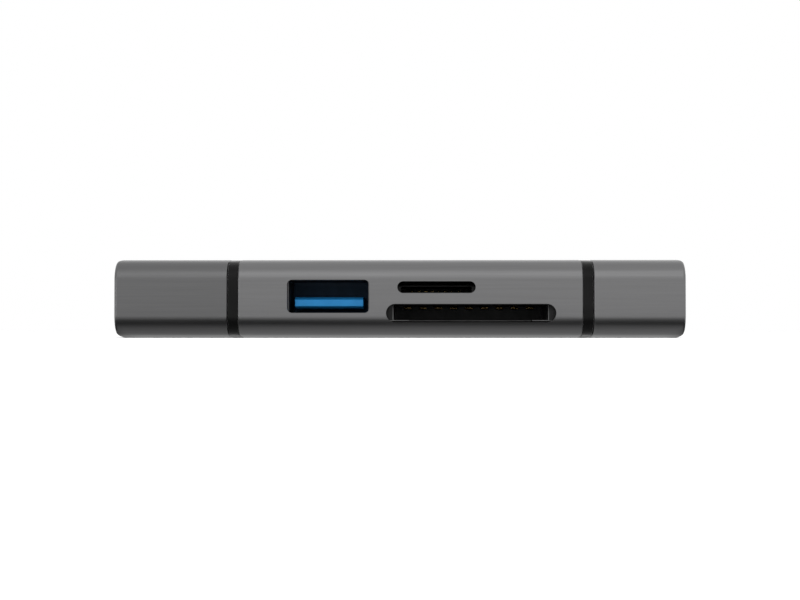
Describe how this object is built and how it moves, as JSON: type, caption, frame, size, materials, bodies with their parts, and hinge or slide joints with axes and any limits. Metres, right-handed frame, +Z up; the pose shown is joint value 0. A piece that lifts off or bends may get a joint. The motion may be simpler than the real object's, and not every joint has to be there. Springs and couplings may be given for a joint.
{
  "type": "usb hub card reader",
  "caption": "Slim metal-cased pocket hub and memory-card reader with a port and card slots in one long side and a capped plug at each end.",
  "frame": {"origin": "under the middle of the case, on the surface it rests on", "axes": "+X along the length towards the short cap, -Y out of the port side, +Z up out of the upper face"},
  "size_m": [0.0896, 0.0206, 0.0125],
  "materials": {
    "anodised_case": "fine blasted, grey anodised",
    "black_moulding": "satin",
    "dark_moulding": "moulded",
    "blue_moulding": "moulded",
    "plated_sheet": "nickel plated",
    "dull_sheet": "tin plated, dull",
    "gilt_contact": "plated",
    "board_laminate": "solder mask",
    "chip_epoxy": "moulded",
    "ceramic_body": "fired"
  },
  "bodies": {
    "reader": {"body_sleeve": "anodised_case", "long_end_frame": "black_moulding", "short_end_frame": "black_moulding", "main_board": "board_laminate", "type_a_plug_shell": "plated_sheet", "type_a_plug_insulator": "blue_moulding", "type_a_plug_contacts": "gilt_contact", "type_c_plug_shell": "plated_sheet", "type_c_plug_insulator": "dark_moulding", "type_c_plug_contacts": "gilt_contact", "port_shell": "dull_sheet", "port_tongue": "blue_moulding", "port_rear_block": "dark_moulding", "port_contacts": "gilt_contact", "card_socket_base": "dark_moulding", "card_socket_cover": "dull_sheet", "card_socket_contacts": "gilt_contact", "mini_socket_base": "dark_moulding", "mini_socket_cover": "dull_sheet", "mini_socket_contacts": "gilt_contact", "hub_chip": "chip_epoxy", "card_chip": "chip_epoxy", "clock_crystal": "plated_sheet", "voltage_regulator": "chip_epoxy", "chip_capacitors": "ceramic_body"},
    "long_cap": {"long_cap": "anodised_case"},
    "short_cap": {"short_cap": "anodised_case"}
  },
  "joints": [
    {"name": "long_cap_pull", "type": "slide", "parent": "reader", "child": "long_cap", "axis": [-1, 0, 0], "range_m": [0, 0.022]},
    {"name": "short_cap_pull", "type": "slide", "parent": "reader", "child": "short_cap", "axis": [1, 0, 0], "range_m": [0, 0.016]}
  ]
}
